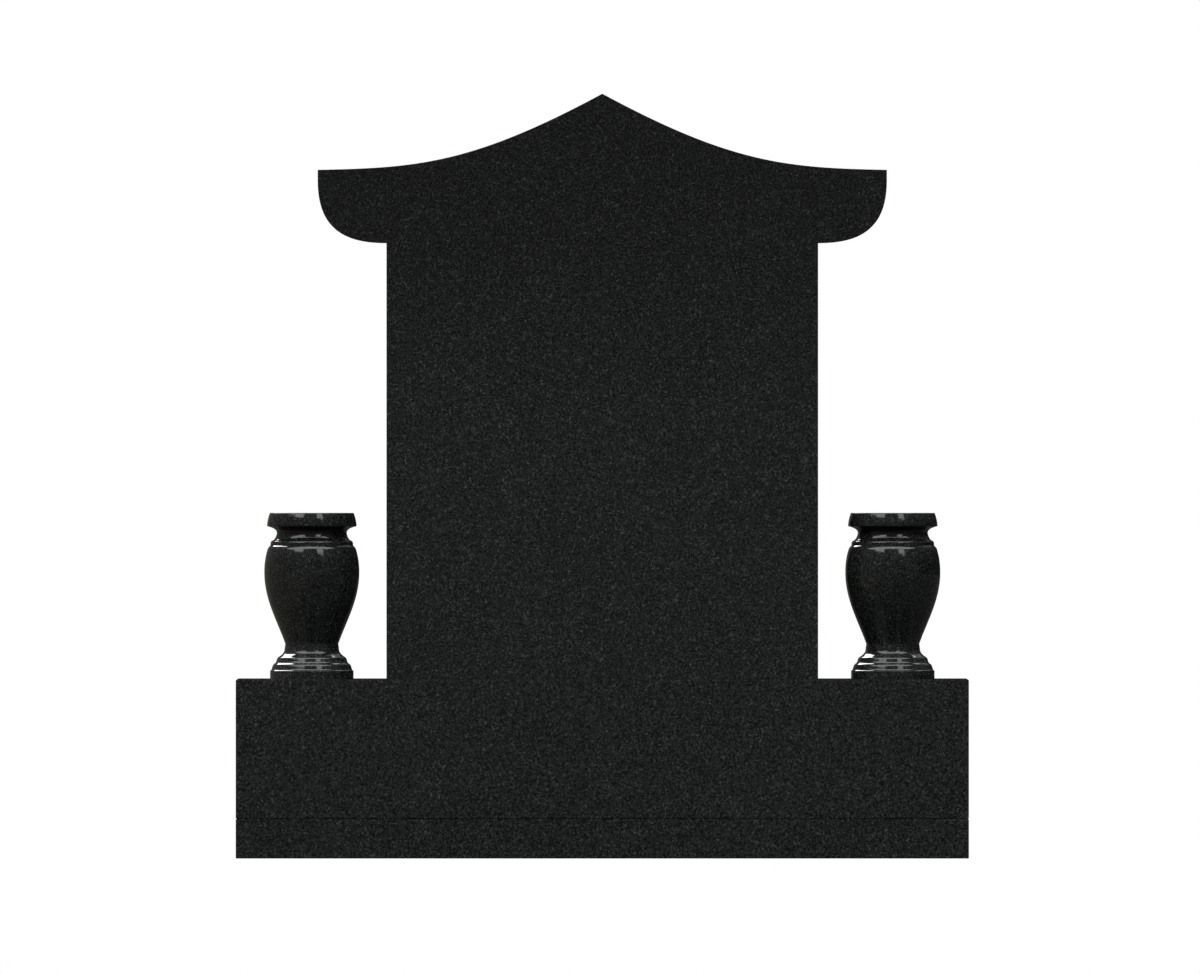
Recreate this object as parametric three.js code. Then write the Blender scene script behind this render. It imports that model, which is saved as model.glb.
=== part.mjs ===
// A granite headstone: an upright tablet with a roof-shaped head and drooping eaves, standing on
// a base of two courses, with a turned flower vase at each side of the tablet.
// Millimetres, +Z up, the front towards -Y. The origin is on the ground, under the base's middle.

import * as THREE from 'three';

// Base: an upper course and the footing slab under it, sawn to the same plan
const baseWidth = 1000;
const baseDepth = 300;
const baseHeight = 190;
const footingHeight = 54;

// Tablet: the slab below its head
const tabletWidth = 590;
const tabletThickness = 100;
const eaveHeight = 596.7;

// Tablet head: how far the eaves reach out, how deep they are, and the rise to the ridge
const eaveOverhang = 94;
const eaveDepth = 99.6;
const eavePlumbDepth = 13.8;
const eaveSoffitFlat = 1.2;
const roofRise = 104.1;

// The roof's sweep is a curve with two pulls, as shares of its half width and of its rise.
// The eave's end is a quarter round that is fuller than a circle.
const ridgePull = { across: 0.457, up: 0.079 };
const eavePull = { across: 0.649, up: 0.026 };
const eaveFullness = 0.7;

// Small bevel along every edge of the blocks, which also draws the joint between the courses
const arris = 1.5;

// Vase: its turned mouldings, from the foot up
const footRadius = 57;
const footHeight = 12.2;
const footRingInset = 2.2;
const footRingHeight = 11;
const stepRadius = 48.8;
const stepHeight = 6;
const stepTaper = 2.4;
const waistRadius = 36.1;
const waistCoveHeight = 18.8;
const bellyRadius = 64.9;
const bellyHeight = 98;
const shoulderHeight = 36.3;
const neckRingRadius = 56.4;
const neckRingHeight = 8.1;
const neckRadius = 47.8;
const neckCoveHeight = 9.2;
const rimCoveHeight = 9.2;
const rimRadius = 61.1;
const rimTaper = 3.5;
const rimHeight = 18.5;
const vaseArris = 1;

// Vase bore: a plain drilled hole, open at the top
const neckWall = 16;
const stoneUnderBore = 78;

// How full the vase's curves are, as shares of each moulding's own height or reach
const waistCovePull = 0.25;
const bellyLowPull = { out: 0.42, up: 0.34 };
const bellyTopPull = 0.62;
const shoulderPull = 0.7;
const neckCovePull = 0.4;
const rimCovePull = 0.7;

// Steps in the curves
const outlineSteps = 18;
const turnedSteps = 40;
const mouldingSteps = 3;
const bellySteps = 8;

const granite = { color: 0x1e201f, roughness: 0.12, metalness: 0 };

// A block or slab pushed through from its outline, with the arris at both of its faces
function easedSlab(outline, thickness) {
  const slab = new THREE.ExtrudeGeometry(outline, {
    depth: thickness - 2 * arris,
    bevelThickness: arris,
    bevelSize: arris,
    bevelOffset: -arris,
    bevelSegments: 1,
  });
  slab.translate(0, 0, arris);
  return slab;
}

// One course of the base: a rectangle in plan with its corners eased
function courseGeometry(height) {
  const halfWidth = baseWidth / 2;
  const halfDepth = baseDepth / 2;
  const corner = [
    new THREE.Vector2(halfWidth, halfDepth - arris),
    new THREE.Vector2(halfWidth - arris, halfDepth),
  ];
  const flipped = (points, x, y) => points.map((p) => new THREE.Vector2(x * p.x, y * p.y));
  const outline = new THREE.Shape([
    ...corner,
    ...flipped(corner, -1, 1).reverse(),
    ...flipped(corner, -1, -1),
    ...flipped(corner, 1, -1).reverse(),
  ]);
  return easedSlab(outline, height);
}

// Half of the tablet's outline, from the middle of its foot round the eave to the ridge
function halfTabletOutline() {
  const side = tabletWidth / 2;
  const tip = side + eaveOverhang;
  const soffitEnd = side + eaveSoffitFlat;
  const plumbFoot = eaveHeight + eaveDepth - eavePlumbDepth;
  const tipTop = eaveHeight + eaveDepth;
  const roundOut = (tip - soffitEnd) * eaveFullness;
  const roundUp = (plumbFoot - eaveHeight) * eaveFullness;

  const half = new THREE.Path();
  half.moveTo(side - arris, 0);
  half.lineTo(side, arris);
  half.lineTo(side, eaveHeight);
  half.lineTo(soffitEnd, eaveHeight);
  half.bezierCurveTo(soffitEnd + roundOut, eaveHeight, tip, plumbFoot - roundUp, tip, plumbFoot);
  half.lineTo(tip, tipTop - arris);
  half.lineTo(tip - arris, tipTop);
  half.bezierCurveTo(
    tip * eavePull.across,
    tipTop + roofRise * eavePull.up,
    tip * ridgePull.across,
    tipTop + roofRise * ridgePull.up,
    0,
    tipTop + roofRise,
  );
  return half.getPoints(outlineSteps);
}

function tabletGeometry() {
  const right = halfTabletOutline();
  const left = right.slice(0, -1).reverse().map((p) => new THREE.Vector2(-p.x, p.y));
  const slab = easedSlab(new THREE.Shape([...right, ...left]), tabletThickness);
  slab.translate(0, 0, -tabletThickness / 2);
  slab.rotateX(Math.PI / 2);
  return slab;
}

// Adds a bend to a profile: one pull makes a plain bend, two make a longer sweep
function addBend(profile, pulls, end, steps) {
  const points = [profile.at(-1), ...[...pulls, end].map((p) => new THREE.Vector2(...p))];
  const Curve = pulls.length === 1 ? THREE.QuadraticBezierCurve : THREE.CubicBezierCurve;
  profile.push(...new Curve(...points).getPoints(steps).slice(1));
}

// Foot: a plain band, a rounded ring set in a little, and a smaller ring above it
function addFoot(profile, ringTop, stepTop) {
  const ringRadius = footRadius - footRingInset;
  profile.push(
    new THREE.Vector2(footRadius - vaseArris, 0),
    new THREE.Vector2(footRadius, vaseArris),
    new THREE.Vector2(footRadius, footHeight - vaseArris),
    new THREE.Vector2(ringRadius, footHeight + vaseArris),
  );
  addBend(profile, [[ringRadius - vaseArris, ringTop - vaseArris]], [stepRadius, ringTop], mouldingSteps);
  profile.push(new THREE.Vector2(stepRadius - stepTaper, stepTop));
}

// Body: the cove down to the waist, the belly up to its widest place, and the shoulder
function addBody(profile, stepTop, waist, widest, shoulderTop) {
  const swell = bellyRadius - waistRadius;
  const covePull = [waistRadius, stepTop + waistCoveHeight * waistCovePull];
  const lowPull = [waistRadius + swell * bellyLowPull.out, waist + bellyHeight * bellyLowPull.up];
  const topPull = [bellyRadius, waist + bellyHeight * bellyTopPull];
  const crownPull = [bellyRadius, widest + shoulderHeight * shoulderPull];
  addBend(profile, [covePull], [waistRadius, waist], mouldingSteps + 1);
  addBend(profile, [lowPull, topPull], [bellyRadius, widest], bellySteps);
  addBend(profile, [crownPull], [neckRingRadius, shoulderTop], mouldingSteps + 2);
}

// Neck: the ring on the shoulder, the cove in to the neck and the cove out under the rim
function addNeck(profile, ringTop, neck, rimFoot) {
  const ringTopRadius = (neckRingRadius + neckRadius) / 2;
  const innerPull = [neckRadius, ringTop + neckCoveHeight * neckCovePull];
  const outerPull = [neckRadius, neck + rimCoveHeight * rimCovePull];
  profile.push(new THREE.Vector2(neckRingRadius, ringTop - neckRingHeight / 2));
  addBend(profile, [[neckRingRadius, ringTop - vaseArris]], [ringTopRadius, ringTop], mouldingSteps);
  addBend(profile, [innerPull], [neckRadius, neck], mouldingSteps);
  addBend(profile, [outerPull], [rimRadius - vaseArris, rimFoot], mouldingSteps);
}

// Rim, leaning in towards its flat top, and the bore down to its flat floor
function addRimAndBore(profile, rimFoot, rimTop) {
  const boreRadius = neckRadius - neckWall;
  const topRadius = rimRadius - rimTaper;
  const facePull = [rimRadius - vaseArris, rimFoot + rimHeight / 2];
  profile.push(new THREE.Vector2(rimRadius, rimFoot + vaseArris));
  addBend(profile, [facePull], [topRadius, rimTop - vaseArris], mouldingSteps);
  profile.push(
    new THREE.Vector2(topRadius - vaseArris, rimTop),
    new THREE.Vector2(boreRadius + vaseArris, rimTop),
    new THREE.Vector2(boreRadius, rimTop - vaseArris),
    new THREE.Vector2(boreRadius, stoneUnderBore),
    new THREE.Vector2(0, stoneUnderBore),
  );
}

// The vase's section, from the middle of its underside up the outside, over the rim and down the bore
function vaseProfile() {
  const ringTop = footHeight + footRingHeight;
  const stepTop = ringTop + stepHeight;
  const waist = stepTop + waistCoveHeight;
  const widest = waist + bellyHeight;
  const shoulderTop = widest + shoulderHeight;
  const neckRingTop = shoulderTop + neckRingHeight;
  const neck = neckRingTop + neckCoveHeight;
  const rimFoot = neck + rimCoveHeight;

  const profile = [new THREE.Vector2(0, 0)];
  addFoot(profile, ringTop, stepTop);
  addBody(profile, stepTop, waist, widest, shoulderTop);
  addNeck(profile, neckRingTop, neck, rimFoot);
  addRimAndBore(profile, rimFoot, rimFoot + rimHeight);
  return profile;
}

function vaseGeometry() {
  const vase = new THREE.LatheGeometry(vaseProfile(), turnedSteps);
  vase.rotateX(Math.PI / 2);
  return vase;
}

// A named piece with its own granite, set down at its place
function piece(name, geometry, x, z) {
  const mesh = new THREE.Mesh(geometry, new THREE.MeshStandardMaterial(granite));
  mesh.name = name;
  mesh.position.set(x, 0, z);
  return mesh;
}

const headstone = new THREE.Group();
const baseTop = footingHeight + baseHeight;
headstone.add(piece('footing_slab', courseGeometry(footingHeight), 0, 0));
headstone.add(piece('base', courseGeometry(baseHeight), 0, footingHeight));
headstone.add(piece('tablet', tabletGeometry(), 0, baseTop));

// A vase stands in the middle of the ledge that the tablet leaves free at each end of the base
const ledgeMiddle = (tabletWidth + baseWidth) / 4;
for (const [name, side] of [['vase_left', -1], ['vase_right', 1]]) {
  headstone.add(piece(name, vaseGeometry(), side * ledgeMiddle, baseTop));
}

export default headstone;
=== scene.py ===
"""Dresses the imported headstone: polished granite courses, a tablet and turned vases, in a pale studio.

Lengths are in metres and angles in degrees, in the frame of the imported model: +Z up, front towards -Y.
"""

import logging
import math
from dataclasses import dataclass
from enum import Enum

import bmesh
import bpy
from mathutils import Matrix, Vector

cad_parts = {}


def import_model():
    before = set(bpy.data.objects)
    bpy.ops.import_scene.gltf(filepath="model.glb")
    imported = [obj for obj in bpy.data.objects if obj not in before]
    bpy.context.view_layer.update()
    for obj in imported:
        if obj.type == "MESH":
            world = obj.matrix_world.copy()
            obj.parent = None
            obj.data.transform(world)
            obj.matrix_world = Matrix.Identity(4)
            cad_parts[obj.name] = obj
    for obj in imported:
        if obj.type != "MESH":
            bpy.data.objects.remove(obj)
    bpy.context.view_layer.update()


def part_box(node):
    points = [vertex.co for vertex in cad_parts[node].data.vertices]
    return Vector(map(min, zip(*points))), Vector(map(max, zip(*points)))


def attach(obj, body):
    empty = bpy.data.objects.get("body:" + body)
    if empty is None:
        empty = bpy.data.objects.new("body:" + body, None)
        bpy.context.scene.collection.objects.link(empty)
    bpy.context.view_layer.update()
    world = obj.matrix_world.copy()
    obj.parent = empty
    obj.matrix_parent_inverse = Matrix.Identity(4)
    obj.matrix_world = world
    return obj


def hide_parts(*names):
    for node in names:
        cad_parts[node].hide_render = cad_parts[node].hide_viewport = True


LOG = logging.getLogger("headstone")

BODY = "root"

# A turn sharper than this, in degrees, shows as a corner and not as a curve
CORNER_TURN = 28.0

Colour = tuple[float, float, float, float]
Triple = tuple[float, float, float]
Point = tuple[float, float]
Outline = list[Point]


class Plane(Enum):
    """The plane that a stone's outline is drawn in. It is sawn along the third axis."""

    PLAN = "plan"
    ELEVATION = "elevation"


class Side(Enum):
    """The end of the base that a vase stands on. The value is the sign of its X."""

    LEFT = -1
    RIGHT = 1


class Joint(Enum):
    """Where a course meets the other one."""

    UNDER = "under"
    OVER = "over"


class NodeBench:
    """Adds nodes to one node tree and wires them, so that an effect reads as a few lines."""

    def __init__(self, tree: bpy.types.NodeTree) -> None:
        """Keeps the node tree of a group, a material or a world."""
        self.tree = tree

    @classmethod
    def cleared(cls, owner: bpy.types.Material | bpy.types.World) -> "NodeBench":
        """Opens a material or a world with an empty node tree.

        Args:
            owner: The material or world.

        Returns:
            Its bench.
        """
        owner.use_nodes = True
        owner.node_tree.nodes.clear()
        return cls(owner.node_tree)

    def add(self, kind: str, **settings: object) -> bpy.types.Node:
        """Adds one node.

        Args:
            kind: The node's type name.
            **settings: Properties to set on the node.

        Returns:
            The new node.
        """
        node = self.tree.nodes.new(kind)
        for name, value in settings.items():
            setattr(node, name, value)
        return node

    def feed(self, target: bpy.types.NodeSocket, value: object) -> None:
        """Links a socket into the target, or sets a plain value on it.

        Args:
            target: The input socket.
            value: An output socket, or a number, vector or colour.
        """
        if isinstance(value, bpy.types.NodeSocket):
            self.tree.links.new(value, target)
        else:
            target.default_value = value

    def math(self, operation: str, first: object, second: object = 0.0) -> bpy.types.NodeSocket:
        """Works out one sum.

        Args:
            operation: The Math node's operation.
            first: A socket or number.
            second: A socket or number.

        Returns:
            The result's socket.
        """
        node = self.add("ShaderNodeMath", operation=operation)
        self.feed(node.inputs[0], first)
        self.feed(node.inputs[1], second)
        return node.outputs[0]

    def scaled(self, vector: object, factor: object) -> bpy.types.NodeSocket:
        """Multiplies a vector or a colour by one number.

        Args:
            vector: A vector or colour, as a socket or as plain numbers.
            factor: A socket or number.

        Returns:
            The scaled vector's socket.
        """
        node = self.add("ShaderNodeVectorMath", operation="SCALE")
        self.feed(node.inputs["Vector"], vector)
        self.feed(node.inputs["Scale"], factor)
        return node.outputs["Vector"]

    def shifted(self, vector: object, offset: Triple) -> bpy.types.NodeSocket:
        """Moves a vector, so that two noises of one size don't follow each other.

        Args:
            vector: A vector socket.
            offset: How far to move it.

        Returns:
            The moved vector's socket.
        """
        node = self.add("ShaderNodeVectorMath", operation="ADD")
        self.feed(node.inputs[0], vector)
        self.feed(node.inputs[1], offset)
        return node.outputs["Vector"]

    def noise(self, vector: object, scale: float, detail: float, distortion: float) -> bpy.types.NodeSocket:
        """Adds a noise.

        Args:
            vector: Where to read it.
            scale: Cells in one unit of the vector.
            detail: Octaves of finer noise.
            distortion: How far the noise winds round itself.

        Returns:
            The noise's value, from 0 to 1.
        """
        node = self.add("ShaderNodeTexNoise", noise_dimensions="3D")
        self.feed(node.inputs["Vector"], vector)
        node.inputs["Scale"].default_value = scale
        node.inputs["Detail"].default_value = detail
        node.inputs["Distortion"].default_value = distortion
        return node.outputs["Fac"]

    def ramp(self, value: object, start: float, end: float, low: float, high: float) -> bpy.types.NodeSocket:
        """Turns a stretch of values smoothly into another.

        Args:
            value: A socket or number.
            start: Where the change starts.
            end: Where the change ends.
            low: The result up to start.
            high: The result from end on.

        Returns:
            The result's socket.
        """
        node = self.add("ShaderNodeMapRange", interpolation_type="SMOOTHSTEP")
        self.feed(node.inputs["Value"], value)
        node.inputs["From Min"].default_value = start
        node.inputs["From Max"].default_value = end
        node.inputs["To Min"].default_value = low
        node.inputs["To Max"].default_value = high
        return node.outputs["Result"]

    def band(self, value: object, limits: Point, softness: float) -> bpy.types.NodeSocket:
        """Gives 1 between two limits and 0 outside them.

        Args:
            value: A socket or number.
            limits: The low and the high limit.
            softness: How far each edge fades to both sides.

        Returns:
            The mask's socket.
        """
        low, high = limits
        rising = self.ramp(value, low - softness, low + softness, 0.0, 1.0)
        falling = self.ramp(value, high - softness, high + softness, 1.0, 0.0)
        return self.math("MULTIPLY", rising, falling)

    def blend(self, factor: object, first: object, second: object) -> bpy.types.NodeSocket:
        """Blends two colours.

        Args:
            factor: The share of the second, as a socket or number.
            first: A colour or its socket.
            second: A colour or its socket.

        Returns:
            The blended colour's socket.
        """
        node = self.add("ShaderNodeMix", data_type="RGBA")
        colours = [s for s in node.inputs if s.type == "RGBA"]
        self.feed(node.inputs[0], factor)
        self.feed(colours[0], first)
        self.feed(colours[1], second)
        return next(s for s in node.outputs if s.type == "RGBA")

    def choose(self, factor: object, first: object, second: object) -> bpy.types.NodeSocket:
        """Mixes two shaders.

        Args:
            factor: The share of the second, as a socket.
            first: A shader's socket.
            second: A shader's socket.

        Returns:
            The mixed shader's socket.
        """
        node = self.add("ShaderNodeMixShader")
        for index, value in enumerate((factor, first, second)):
            self.feed(node.inputs[index], value)
        return node.outputs["Shader"]

    def split(self, vector: object) -> bpy.types.bpy_prop_collection:
        """Takes a vector apart.

        Args:
            vector: A vector socket.

        Returns:
            The sockets of its parts, by the names X, Y and Z.
        """
        node = self.add("ShaderNodeSeparateXYZ")
        self.feed(node.inputs["Vector"], vector)
        return node.outputs


@dataclass(frozen=True)
class GrainEffect:
    """Granite's look inside the stone: packed dark and grey crystals, pale curled flecks and a slow drift.

    Scales count cells in one crystal's size. Between a band's two noise values, one tone turns into the next.
    """

    name: str = "granite_grain"
    crystal_detail: float = 1.0
    crystal_wind: float = 0.4
    crystal_band: Point = (0.30, 0.72)
    fleck_scale: float = 0.55
    fleck_wind: float = 1.3
    fleck_width: float = 0.06
    fleck_place: Triple = (31.7, 12.3, 5.1)
    patch_scale: float = 0.7
    patch_band: Point = (0.46, 0.60)
    patch_place: Triple = (3.9, 44.2, 17.6)
    drift_size: float = 0.16
    drift_detail: float = 2.0
    dulling: float = 0.03

    def group(self) -> bpy.types.NodeTree:
        """Builds the shared node group.

        Returns:
            The group, with the stone's colour, roughness and height as outputs.
        """
        tree = bpy.data.node_groups.new(self.name, "ShaderNodeTree")
        sockets = (
            ("Position", "INPUT", "NodeSocketVector"),
            ("Crystal Size", "INPUT", "NodeSocketFloat"),
            ("Dark", "INPUT", "NodeSocketColor"),
            ("Grey", "INPUT", "NodeSocketColor"),
            ("Fleck", "INPUT", "NodeSocketColor"),
            ("Fleck Share", "INPUT", "NodeSocketFloat"),
            ("Tone", "INPUT", "NodeSocketFloat"),
            ("Drift", "INPUT", "NodeSocketFloat"),
            ("Polish", "INPUT", "NodeSocketFloat"),
            ("Color", "OUTPUT", "NodeSocketColor"),
            ("Roughness", "OUTPUT", "NodeSocketFloat"),
            ("Height", "OUTPUT", "NodeSocketFloat"),
        )
        for name, way, kind in sockets:
            tree.interface.new_socket(name, in_out=way, socket_type=kind)
        bench = NodeBench(tree)
        given = bench.add("NodeGroupInput").outputs
        made = bench.add("NodeGroupOutput").inputs

        cells = bench.scaled(given["Position"], bench.math("DIVIDE", 1.0, given["Crystal Size"]))
        crystals = bench.noise(cells, 1.0, self.crystal_detail, self.crystal_wind)
        curls = bench.noise(bench.shifted(cells, self.fleck_place), self.fleck_scale, 0.0, self.fleck_wind)
        patches = bench.noise(bench.shifted(cells, self.patch_place), self.patch_scale, 0.0, 0.0)
        drift = bench.noise(given["Position"], 1.0 / self.drift_size, self.drift_detail, 0.0)

        from_ridge = bench.math("ABSOLUTE", bench.math("SUBTRACT", curls, 0.5))
        ridge = bench.ramp(from_ridge, 0.0, self.fleck_width, 1.0, 0.0)
        flecks = bench.math("MULTIPLY", ridge, bench.ramp(patches, *self.patch_band, 0.0, 1.0))
        flecks = bench.math("MULTIPLY", flecks, given["Fleck Share"])
        ground = bench.blend(bench.ramp(crystals, *self.crystal_band, 0.0, 1.0), given["Dark"], given["Grey"])
        stone = bench.blend(flecks, ground, given["Fleck"])

        slow = bench.math("MULTIPLY", bench.math("SUBTRACT", drift, 0.5), given["Drift"])
        # The colour is scaled by the slow drift, a random tone in the stone, and by the painted shade that
        # darkens the top of some stones.
        tone = bench.math("MULTIPLY", given["Tone"], bench.math("ADD", slow, 1.0))
        bench.feed(made["Color"], bench.scaled(stone, tone))

        softness = bench.math("MULTIPLY", bench.math("ADD", slow, flecks), self.dulling)
        bench.feed(made["Roughness"], bench.math("ADD", given["Polish"], softness))
        bench.feed(made["Height"], crystals)
        return tree


@dataclass(frozen=True)
class GraniteFinish:
    """One polished black granite, with its own tones. Colours are linear.

    A painted shade darkens the colour towards the top, to the head share over the fade's heights, for the
    dimmer light and reflection that the top gets.
    """

    slot: str
    dark: Colour = (0.0036, 0.0042, 0.0040, 1.0)
    grey: Colour = (0.0314, 0.0357, 0.0344, 1.0)
    fleck: Colour = (0.129, 0.145, 0.140, 1.0)
    fleck_share: float = 0.75
    crystal_size: float = 0.0024
    drift: float = 0.25
    polish: float = 0.09
    relief: float = 0.000012
    head_painted_shade: float = 1.0
    painted_shade_heights: Point = (0.55, 0.95)

    def material(self, grain: bpy.types.NodeTree) -> bpy.types.Material:
        """Builds the material round the shared grain.

        Args:
            grain: The granite grain's node group.

        Returns:
            The finished material.
        """
        made = bpy.data.materials.new(self.slot)
        bench = NodeBench.cleared(made)
        place = bench.add("ShaderNodeTexCoord").outputs["Object"]
        stone = bench.add("ShaderNodeGroup", node_tree=grain)
        settings = {
            "Position": place,
            "Crystal Size": self.crystal_size,
            "Dark": self.dark,
            "Grey": self.grey,
            "Fleck": self.fleck,
            "Fleck Share": self.fleck_share,
            "Tone": self._painted_shade(bench, place),
            "Drift": self.drift,
            "Polish": self.polish,
        }
        for name, value in settings.items():
            bench.feed(stone.inputs[name], value)

        bump = bench.add("ShaderNodeBump")
        bench.feed(bump.inputs["Height"], stone.outputs["Height"])
        bump.inputs["Distance"].default_value = self.relief
        shader = bench.add("ShaderNodeBsdfPrincipled")
        bench.feed(shader.inputs["Base Color"], stone.outputs["Color"])
        bench.feed(shader.inputs["Roughness"], stone.outputs["Roughness"])
        bench.feed(shader.inputs["Normal"], bump.outputs["Normal"])
        output = bench.add("ShaderNodeOutputMaterial")
        bench.feed(output.inputs["Surface"], shader.outputs["BSDF"])
        return made

    def _painted_shade(self, bench: NodeBench, place: bpy.types.NodeSocket) -> object:
        """Gives the tone: a painted shade that darkens the colour towards the top of the stone, for the
        dimmer light there.

        Args:
            bench: The material's bench.
            place: Where the tone is read.

        Returns:
            The tone, as a socket or a plain number.
        """
        # Painted shade: a ramp on height darkens the upper part of the stone.
        if self.head_painted_shade == 1.0:
            return 1.0
        return bench.ramp(bench.split(place)["Z"], *self.painted_shade_heights, 1.0, self.head_painted_shade)


def curve(start: Point, pulls: list[Point], end: Point, steps: int) -> Outline:
    """Cuts a curve into points, leaving out its start.

    Args:
        start: Where the curve starts.
        pulls: None for a straight run, one for a plain bend or two for a longer sweep.
        end: Where the curve ends.
        steps: The number of points.

    Returns:
        The points after the start.
    """
    hold = [start, *pulls, end]
    order = len(hold) - 1
    points = []
    for step in range(1, steps + 1):
        t = step / steps
        weights = [math.comb(order, k) * (1 - t) ** (order - k) * t**k for k in range(order + 1)]
        points.append(tuple(sum(w * p[axis] for w, p in zip(weights, hold)) for axis in (0, 1)))
    return points


def loft(outlines: list[tuple[float, Outline]], plane: Plane) -> bmesh.types.BMesh:
    """Saws a stone through a row of outlines, with flat ends.

    Args:
        outlines: Each outline's place along the third axis, and its corners in order.
            All have the same number of corners.
        plane: The plane that the outlines are drawn in.

    Returns:
        The sawn stone.
    """
    stone = bmesh.new()
    rings = []
    for level, outline in outlines:
        if plane is Plane.PLAN:
            places = [(across, along, level) for across, along in outline]
        else:
            places = [(across, level, along) for across, along in outline]
        rings.append([stone.verts.new(place) for place in places])
    for end in (rings[0], rings[-1]):
        stone.faces.new(end)
    count = len(rings[0])
    for lower, upper in zip(rings, rings[1:]):
        for k in range(count):
            following = (k + 1) % count
            stone.faces.new((lower[k], lower[following], upper[following], upper[k]))
    bmesh.ops.recalc_face_normals(stone, faces=stone.faces)
    return stone


def ease_edges(stone: bmesh.types.BMesh, arris: float) -> None:
    """Takes a narrow flat arris off a stone's outer edges.

    Args:
        stone: The sawn stone.
        arris: How far the arris reaches from the edge.
    """
    edges = [e for e in stone.edges if e.is_convex and e.calc_face_angle(0.0) > math.radians(CORNER_TURN)]
    bmesh.ops.bevel(
        stone,
        geom=edges,
        offset=arris,
        offset_type="OFFSET",
        segments=1,
        affect="EDGES",
        clamp_overlap=False,
    )


def turn(section: Outline, centre: Vector, steps: int) -> bmesh.types.BMesh:
    """Turns a section on the lathe.

    Args:
        section: Radius and height of each point, from the axis out and back to the axis.
        centre: The middle of the stone's underside.
        steps: Faces round the axis.

    Returns:
        The turned stone.
    """
    stone = bmesh.new()
    rings = []
    for radius, height in section[1:-1]:
        ring = []
        for step in range(steps):
            angle = math.tau * step / steps
            place = Vector((radius * math.cos(angle), radius * math.sin(angle), height))
            ring.append(stone.verts.new(centre + place))
        rings.append(ring)
    ends = [stone.verts.new(centre + Vector((0.0, 0.0, section[k][1]))) for k in (0, -1)]
    for step in range(steps):
        following = (step + 1) % steps
        for lower, upper in zip(rings, rings[1:]):
            stone.faces.new((lower[step], lower[following], upper[following], upper[step]))
        stone.faces.new((ends[0], rings[0][following], rings[0][step]))
        stone.faces.new((rings[-1][step], rings[-1][following], ends[1]))
    bmesh.ops.recalc_face_normals(stone, faces=stone.faces)
    return stone


def set_down(
    node: str, stone: bmesh.types.BMesh, finish: GraniteFinish, grain: bpy.types.NodeTree
) -> bpy.types.Object:
    """Makes a stone into a piece of the model that stands for its solid.

    Args:
        node: The solid's name.
        stone: The stone's shape, in its place.
        finish: The stone's finish.
        grain: The granite grain's node group.

    Returns:
        The piece.
    """
    name = f"{node}_stone"
    mesh = bpy.data.meshes.new(name)
    stone.to_mesh(mesh)
    stone.free()
    mesh.polygons.foreach_set("use_smooth", [True] * len(mesh.polygons))
    mesh.set_sharp_from_angle(angle=math.radians(CORNER_TURN))
    mesh.materials.append(finish.material(grain))
    piece = bpy.data.objects.new(name, mesh)
    bpy.context.scene.collection.objects.link(piece)
    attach(piece, BODY)
    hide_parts(node)
    LOG.info("%s: %d faces", name, len(mesh.polygons))
    return piece


@dataclass
class Course:
    """One course of the base: a sawn block that fills its solid's box, with a narrow flat arris at its edges.

    At the joint the upper course is cut back under its edge, which draws a dark line.
    """

    node: str
    finish: GraniteFinish
    joint: Joint
    arris: float = 0.0007
    undercut_depth: float = 0.0020
    undercut_height: float = 0.0010

    def outline(self, inset: float) -> Outline:
        """Draws the block in plan, with its corners eased.

        Args:
            inset: How far the outline lies inside the block's faces.

        Returns:
            The eight corners in order.
        """
        low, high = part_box(self.node)
        cut = self.arris
        left, right = low.x + inset, high.x - inset
        front, back = low.y + inset, high.y - inset
        return [
            (left + cut, front),
            (right - cut, front),
            (right, front + cut),
            (right, back - cut),
            (right - cut, back),
            (left + cut, back),
            (left, back - cut),
            (left, front + cut),
        ]

    def build(self, grain: bpy.types.NodeTree) -> bpy.types.Object:
        """Cuts, polishes and sets down the block.

        Args:
            grain: The granite grain's node group.

        Returns:
            The piece.
        """
        low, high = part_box(self.node)
        foot_depth, foot_height = self.arris, self.arris
        if self.joint is Joint.UNDER:
            foot_depth, foot_height = self.undercut_depth, self.undercut_height
        face = self.outline(0.0)
        outlines = [
            (low.z, self.outline(foot_depth)),
            (low.z + foot_height, face),
            (high.z - self.arris, face),
            (high.z, self.outline(self.arris)),
        ]
        stone = loft(outlines, Plane.PLAN)
        return set_down(self.node, stone, self.finish, grain)


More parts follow.
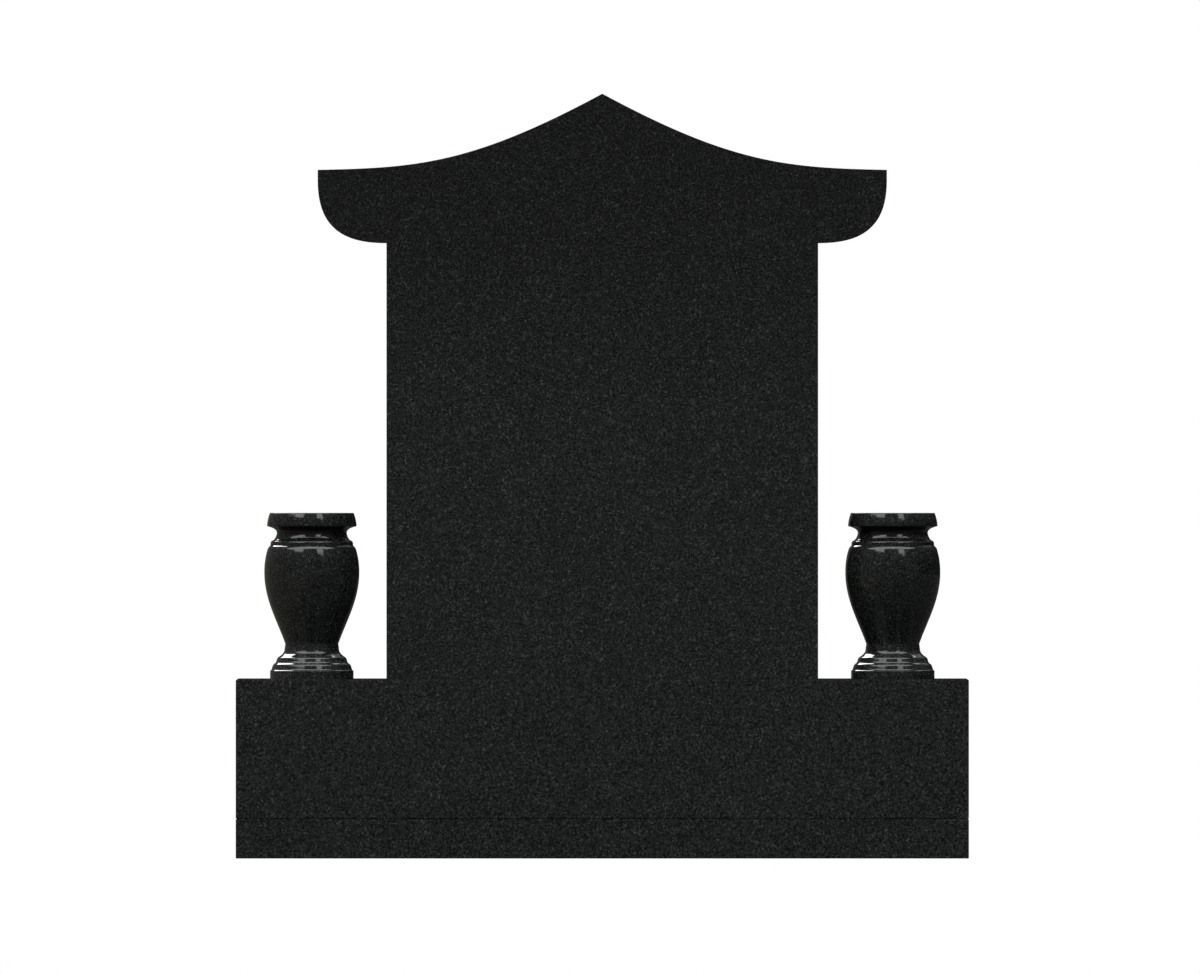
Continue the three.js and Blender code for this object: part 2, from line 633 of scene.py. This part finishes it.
@dataclass
class Tablet:
    """The upright slab with its roof-shaped head. Its outer sizes come from its solid's box."""

    finish: GraniteFinish
    node: str = "tablet"
    body_width: float = 0.590
    eave_depth: float = 0.0996
    eave_plumb: float = 0.0138
    roof_rise: float = 0.1041
    soffit_flat: float = 0.0012
    eave_fullness: float = 0.7
    ridge_pull: Point = (0.457, 0.079)
    eave_pull: Point = (0.649, 0.026)
    eave_steps: int = 40
    roof_steps: int = 96
    arris: float = 0.0005

    def half_outline(self) -> Outline:
        """Draws the right half from its foot round the eave to the ridge.

        Returns:
            The points from the foot's corner to the ridge.
        """
        low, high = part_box(self.node)
        side = self.body_width / 2
        tip = high.x
        tip_top = high.z - self.roof_rise
        soffit = tip_top - self.eave_depth
        plumb_foot = tip_top - self.eave_plumb
        soffit_end = side + self.soffit_flat
        out = (tip - soffit_end) * self.eave_fullness
        up = (plumb_foot - soffit) * self.eave_fullness
        under_eave = (soffit_end + out, soffit)
        beside_eave = (tip, plumb_foot - up)
        half = [(side, low.z), (side, soffit), (soffit_end, soffit)]
        half += curve(half[-1], [under_eave, beside_eave], (tip, plumb_foot), self.eave_steps)
        half.append((tip, tip_top))
        near_tip = (tip * self.eave_pull[0], tip_top + self.roof_rise * self.eave_pull[1])
        near_ridge = (tip * self.ridge_pull[0], tip_top + self.roof_rise * self.ridge_pull[1])
        half += curve(half[-1], [near_tip, near_ridge], (0.0, high.z), self.roof_steps)
        return half

    def build(self, grain: bpy.types.NodeTree) -> bpy.types.Object:
        """Cuts, polishes and sets down the tablet.

        Args:
            grain: The granite grain's node group.

        Returns:
            The piece.
        """
        low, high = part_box(self.node)
        right = self.half_outline()
        left = [(-x, z) for x, z in reversed(right[:-1])]
        outline = right + left
        stone = loft([(low.y, outline), (high.y, outline)], Plane.ELEVATION)
        ease_edges(stone, self.arris)
        return set_down(self.node, stone, self.finish, grain)


@dataclass(frozen=True)
class Moulding:
    """One run of a turned section: straight without pulls, a bend with one and a sweep with two."""

    name: str
    end: Point
    pulls: tuple[Point, ...] = ()
    steps: int = 8


# Radius and height of each run's end, from the underside up the outside, over the rim and down the bore
VASE_MOULDINGS = (
    Moulding("underside", (0.0567, 0.0), steps=1),
    Moulding("foot arris", (0.0571, 0.0004), steps=1),
    Moulding("foot band", (0.0571, 0.0108), steps=3),
    Moulding("foot band crown", (0.0565, 0.0117), ((0.0571, 0.0114),), steps=4),
    Moulding("foot ring cove", (0.0545, 0.0152), ((0.0550, 0.0126),)),
    Moulding("foot ring face", (0.05395, 0.0171), steps=2),
    Moulding("foot ring crown", (0.0507, 0.02135), ((0.0533, 0.0197),)),
    Moulding("step cove", (0.0484, 0.0249), ((0.0492, 0.0223),)),
    Moulding("step face", (0.0479, 0.0266), steps=2),
    Moulding("step crown", (0.0454, 0.0302), ((0.0473, 0.0290),)),
    Moulding("waist cove", (0.03735, 0.0398), ((0.0380, 0.0347),), steps=16),
    Moulding("waist", (0.0363, 0.0483), steps=6),
    Moulding("belly", (0.0650, 0.1460), ((0.0482, 0.0813), (0.0650, 0.1088)), steps=40),
    Moulding("shoulder", (0.0606, 0.1772), ((0.0650, 0.1635),), steps=24),
    Moulding("shoulder crown", (0.0567, 0.1826), ((0.0596, 0.1802),), steps=12),
    Moulding("neck ring face", (0.0565, 0.1855), steps=2),
    Moulding("neck ring crown", (0.0540, 0.1893), ((0.0564, 0.1884),), steps=12),
    Moulding("neck ring cove", (0.05075, 0.1920), ((0.0519, 0.1902),)),
    Moulding("neck flare", (0.04785, 0.1999), ((0.0483, 0.1959),), steps=12),
    Moulding("rim cove", (0.0606, 0.2089), ((0.04785, 0.2060),), steps=16),
    Moulding("rim foot", (0.06125, 0.2099), ((0.06125, 0.2091),), steps=4),
    Moulding("rim face", (0.0576, 0.2265), ((0.06075, 0.2185),), steps=12),
    Moulding("rim crown", (0.0568, 0.2273), ((0.0573, 0.2273),), steps=4),
    Moulding("rim top", (0.0326, 0.2273), steps=1),
    Moulding("bore crown", (0.0318, 0.2265), ((0.0318, 0.2273),), steps=4),
    Moulding("bore", (0.0318, 0.0790), steps=1),
    Moulding("bore corner", (0.0308, 0.0780), ((0.0318, 0.0780),), steps=4),
    Moulding("bore floor", (0.0, 0.0780), steps=1),
)


@dataclass
class Vase:
    """A turned flower vase at one end of the base."""

    side: Side
    finish: GraniteFinish
    mouldings: tuple[Moulding, ...] = VASE_MOULDINGS
    turned_steps: int = 192

    @property
    def node(self) -> str:
        """Names the solid that this vase stands for."""
        return f"vase_{self.side.name.lower()}"

    def section(self) -> Outline:
        """Draws the section from the axis, round the outside and the bore, and back to the axis.

        Returns:
            Radius and height of each point.
        """
        points = [(0.0, 0.0)]
        for moulding in self.mouldings:
            points += curve(points[-1], list(moulding.pulls), moulding.end, moulding.steps)
            LOG.debug("%s: radius %.4f at height %.4f", moulding.name, *moulding.end)
        return points

    def build(self, grain: bpy.types.NodeTree) -> bpy.types.Object:
        """Turns, polishes and sets down the vase.

        Args:
            grain: The granite grain's node group.

        Returns:
            The piece.
        """
        low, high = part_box(self.node)
        centre = Vector(((low.x + high.x) / 2, (low.y + high.y) / 2, low.z))
        stone = turn(self.section(), centre, self.turned_steps)
        return set_down(self.node, stone, self.finish, grain)


@dataclass(frozen=True)
class Window:
    """A soft window in the studio's round wall, given in degrees by the directions that it fills.

    An azimuth of 0 is in front of the headstone, and 90 is to its right.
    """

    azimuth: Point
    elevation: Point
    radiance: float
    jamb_softness: float = 2.5
    sill_softness: float = 6.0
    tint: Triple = (1.0, 1.0, 1.0)

    def glow(self, bench: NodeBench, sky: "Directions") -> bpy.types.NodeSocket:
        """Gives the window's light in every direction.

        Args:
            bench: The world's bench.
            sky: The direction that is looked in.

        Returns:
            The light's colour socket.
        """
        sides = tuple(math.radians(a) for a in self.azimuth)
        heights = tuple(math.radians(e) for e in self.elevation)
        across = bench.band(sky.azimuth, sides, math.radians(self.jamb_softness))
        up = bench.band(sky.elevation, heights, math.radians(self.sill_softness))
        strength = bench.math("MULTIPLY", bench.math("MULTIPLY", across, up), self.radiance)
        return bench.scaled(self.tint, strength)


@dataclass(frozen=True)
class CeilingLight:
    """A wide soft light overhead, given by its edges in units of its height above the headstone.

    With a slant, it lies askew: its sides move that far to the right for every unit forward.
    """

    across: Point
    forward: Point
    radiance: float
    slant: float = 0.0
    softness: float = 0.04
    least_rise: float = 0.01
    horizon: Point = (0.02, 0.1)

    def glow(self, bench: NodeBench, sky: "Directions") -> bpy.types.NodeSocket:
        """Gives the ceiling's light in every direction.

        Args:
            bench: The world's bench.
            sky: The direction that is looked in.

        Returns:
            The light's colour socket.
        """
        rise = bench.math("MAXIMUM", sky.up, self.least_rise)
        front = bench.math("DIVIDE", sky.front, rise)
        right = bench.math("DIVIDE", sky.right, rise)
        right = bench.math("SUBTRACT", right, bench.math("MULTIPLY", front, self.slant))
        across = bench.band(right, self.across, self.softness)
        forward = bench.band(front, self.forward, self.softness)
        strength = bench.math("MULTIPLY", bench.math("MULTIPLY", across, forward), self.radiance)
        above = bench.ramp(sky.up, *self.horizon, 0.0, 1.0)
        return bench.scaled((1.0, 1.0, 1.0), bench.math("MULTIPLY", strength, above))


@dataclass(frozen=True)
class Directions:
    """The direction that is looked in, as sockets: its parts to the right, front and top, and its angles."""

    right: bpy.types.NodeSocket
    front: bpy.types.NodeSocket
    up: bpy.types.NodeSocket
    azimuth: bpy.types.NodeSocket
    elevation: bpy.types.NodeSocket

    @classmethod
    def read(cls, bench: NodeBench) -> "Directions":
        """Reads the direction in a world's node tree.

        Args:
            bench: The world's bench.

        Returns:
            The direction's sockets.
        """
        parts = bench.split(bench.add("ShaderNodeTexCoord").outputs["Generated"])
        front = bench.math("MULTIPLY", parts["Y"], -1.0)
        azimuth = bench.math("ARCTAN2", parts["X"], front)
        elevation = bench.math("ARCSINE", parts["Z"])
        return cls(parts["X"], front, parts["Z"], azimuth, elevation)


@dataclass(frozen=True)
class Studio:
    """What surrounds the headstone: plain white to the camera, a dim room with soft lights to the stone.

    Heights and sides are parts of a direction of length 1. The wall starts at the skirting and turns into
    the zenith along the cove. It is in shade at the right and behind. What a reflection mirrors once more
    is dimmed to the share second_mirror.
    """

    lights: tuple[Window | CeilingLight, ...]
    backdrop: Colour = (1.0, 1.0, 1.0, 1.0)
    ground: Colour = (0.035, 0.035, 0.035, 1.0)
    wall: Colour = (0.095, 0.093, 0.090, 1.0)
    shaded_wall: Colour = (0.010, 0.010, 0.010, 1.0)
    zenith: Colour = (0.16, 0.163, 0.166, 1.0)
    skirting: Point = (-0.10, 0.0)
    cove: Point = (0.05, 0.8)
    shade_across: Point = (-0.45, 0.0)
    shade_front: Point = (0.25, 0.75)
    mirror_depth: Point = (2.2, 2.8)
    second_mirror: float = 0.4

    def fill(self) -> bpy.types.World:
        """Builds the world.

        Returns:
            The world, set on the scene.
        """
        world = bpy.data.worlds.new("studio")
        bench = NodeBench.cleared(world)
        sky = Directions.read(bench)
        shade = bench.math(
            "MULTIPLY",
            bench.ramp(sky.right, *self.shade_across, 0.0, 1.0),
            bench.ramp(sky.front, *self.shade_front, 1.0, 0.0),
        )
        sides = bench.blend(shade, self.wall, self.shaded_wall)
        walls = bench.blend(bench.ramp(sky.up, *self.cove, 0.0, 1.0), sides, self.zenith)
        light = bench.blend(bench.ramp(sky.up, *self.skirting, 0.0, 1.0), self.ground, walls)
        for lamp in self.lights:
            brighter = bench.add("ShaderNodeVectorMath", operation="MAXIMUM")
            bench.feed(brighter.inputs[0], light)
            bench.feed(brighter.inputs[1], lamp.glow(bench, sky))
            light = brighter.outputs["Vector"]
        path = bench.add("ShaderNodeLightPath").outputs
        room = bench.add("ShaderNodeBackground")
        dimming = bench.ramp(path["Ray Depth"], *self.mirror_depth, 1.0, self.second_mirror)
        bench.feed(room.inputs["Color"], light)
        bench.feed(room.inputs["Strength"], dimming)
        white = bench.add("ShaderNodeBackground")
        bench.feed(white.inputs["Color"], self.backdrop)
        to_camera = path["Is Camera Ray"]
        surroundings = bench.choose(to_camera, room.outputs["Background"], white.outputs["Background"])
        bench.feed(bench.add("ShaderNodeOutputWorld").inputs["Surface"], surroundings)
        bpy.context.scene.world = world
        LOG.info("studio: %d soft lights", len(self.lights))
        return world


@dataclass(frozen=True)
class PaleFloor:
    """A plain pale floor. It reads white from the camera and stays dim in the stone's reflections.

    In them it is a little lighter and warmer at the headstone's left.
    """

    half_size: float = 12.0
    pale: Colour = (0.82, 0.82, 0.82, 1.0)
    dim: Colour = (0.05, 0.05, 0.05, 1.0)
    warm: Colour = (0.105, 0.096, 0.080, 1.0)
    warm_side: Point = (-0.95, -0.6)
    glow: float = 0.25
    lit_radius: float = 0.9
    white_radius: float = 3.0
    edge_on: Point = (0.955, 0.985)

    def material(self) -> bpy.types.Material:
        """Builds the floor's material. It turns plain white away from the headstone and seen edge on.

        Returns:
            The material.
        """
        made = bpy.data.materials.new("pale_floor")
        bench = NodeBench.cleared(made)
        place = bench.add("ShaderNodeTexCoord").outputs["Object"]
        length = bench.add("ShaderNodeVectorMath", operation="LENGTH")
        bench.feed(length.inputs[0], place)
        away = bench.ramp(length.outputs["Value"], self.lit_radius, self.white_radius, 0.0, 1.0)
        facing = bench.add("ShaderNodeLayerWeight").outputs["Facing"]
        white = bench.math("MAXIMUM", away, bench.ramp(facing, *self.edge_on, 0.0, 1.0))
        lit = bench.add("ShaderNodeBsdfDiffuse")
        bench.feed(lit.inputs["Color"], self.pale)
        glow = bench.add("ShaderNodeEmission")
        glow.inputs["Strength"].default_value = self.glow
        near = bench.add("ShaderNodeAddShader")
        bench.feed(near.inputs[0], lit.outputs["BSDF"])
        bench.feed(near.inputs[1], glow.outputs["Emission"])
        far = bench.add("ShaderNodeEmission")
        seen = bench.choose(white, near.outputs["Shader"], far.outputs["Emission"])
        warmth = bench.ramp(bench.split(place)["X"], *self.warm_side, 1.0, 0.0)
        mirrored = bench.add("ShaderNodeBsdfDiffuse")
        bench.feed(mirrored.inputs["Color"], bench.blend(warmth, self.dim, self.warm))
        to_camera = bench.add("ShaderNodeLightPath").outputs["Is Camera Ray"]
        surface = bench.choose(to_camera, mirrored.outputs["BSDF"], seen)
        bench.feed(bench.add("ShaderNodeOutputMaterial").inputs["Surface"], surface)
        return made

    def lay(self) -> bpy.types.Object:
        """Lays the floor under the headstone.

        Returns:
            The floor.
        """
        reach = self.half_size
        mesh = bpy.data.meshes.new("floor")
        corners = [(-reach, -reach, 0.0), (reach, -reach, 0.0), (reach, reach, 0.0), (-reach, reach, 0.0)]
        mesh.from_pydata(corners, [], [(0, 1, 2, 3)])
        mesh.materials.append(self.material())
        floor = bpy.data.objects.new("floor", mesh)
        bpy.context.scene.collection.objects.link(floor)
        return floor


@dataclass(frozen=True)
class Viewpoint:
    """The photograph's view: square on from the front, from so far away that no depth shows."""

    pixels_per_metre: float = 733.2
    image_width: int = 1200
    image_height: int = 973
    base_middle_x: float = 602.3
    ground_y: float = 858.55
    lens: float = 1000.0
    sensor: float = 36.0
    clip_end: float = 200.0

    def stand(self) -> bpy.types.Object:
        """Sets up the camera.

        Returns:
            The camera, made the scene's own.
        """
        pixel = 1.0 / self.pixels_per_metre
        frame_width = self.image_width * pixel
        camera = bpy.data.cameras.new("camera")
        camera.lens = self.lens
        camera.sensor_width = self.sensor
        camera.clip_end = self.clip_end
        stand = bpy.data.objects.new("camera", camera)
        across = (self.image_width / 2 - self.base_middle_x) * pixel
        height = (self.ground_y - self.image_height / 2) * pixel
        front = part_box("base")[0].y
        stand.location = (across, front - frame_width * self.lens / self.sensor, height)
        stand.rotation_euler = (math.radians(90.0), 0.0, 0.0)
        bpy.context.scene.collection.objects.link(stand)
        bpy.context.scene.camera = stand
        return stand


BASE_GRANITE = GraniteFinish(slot="base_granite")
FOOTING_GRANITE = GraniteFinish(slot="footing_granite")
# The tablet and the vases get a painted shade that darkens their upper parts.
TABLET_GRANITE = GraniteFinish(slot="tablet_granite", head_painted_shade=0.66)
VASE_GRANITE = GraniteFinish(slot="vase_granite", polish=0.06, head_painted_shade=0.80, painted_shade_heights=(0.34, 0.40))

LIGHTS = (
    CeilingLight(across=(-1.2, 0.85), forward=(0.09, 0.80), radiance=3.5),
    CeilingLight(across=(-0.64, -0.20), forward=(-2.0, -0.36), radiance=12.0, slant=0.2),
    CeilingLight(across=(0.22, 0.63), forward=(-2.0, -0.42), radiance=0.45, slant=-0.2),
    CeilingLight(across=(0.38, 0.55), forward=(-1.05, -0.66), radiance=3.0),
    Window(azimuth=(-50.0, -24.0), elevation=(30.0, 45.0), radiance=3.5, sill_softness=2.5),
    Window(azimuth=(-74.0, -46.0), elevation=(31.0, 45.0), radiance=1.0, sill_softness=4.0),
    Window(azimuth=(16.0, 32.5), elevation=(27.5, 45.0), radiance=3.3, sill_softness=2.5),
    Window(azimuth=(24.0, 32.0), elevation=(23.0, 40.0), radiance=2.2, sill_softness=3.0),
    Window(azimuth=(-165.0, -75.0), elevation=(-35.0, 20.0), radiance=0.14, tint=(1.0, 0.88, 0.76)),
)


def light_studio() -> None:
    """Sets up the floor, the studio and the camera."""
    PaleFloor().lay()
    Studio(LIGHTS).fill()
    Viewpoint().stand()
    bpy.context.scene.view_settings.view_transform = "Standard"


def main() -> None:
    """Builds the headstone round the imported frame."""
    logging.basicConfig(level=logging.INFO, format="%(name)s: %(message)s")
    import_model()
    grain = GrainEffect().group()
    parts = (
        Course("footing_slab", FOOTING_GRANITE, Joint.OVER),
        Course("base", BASE_GRANITE, Joint.UNDER),
        Tablet(TABLET_GRANITE),
        Vase(Side.LEFT, VASE_GRANITE),
        Vase(Side.RIGHT, VASE_GRANITE),
    )
    for part in parts:
        part.build(grain)
    light_studio()


if __name__ == "__main__":
    main()
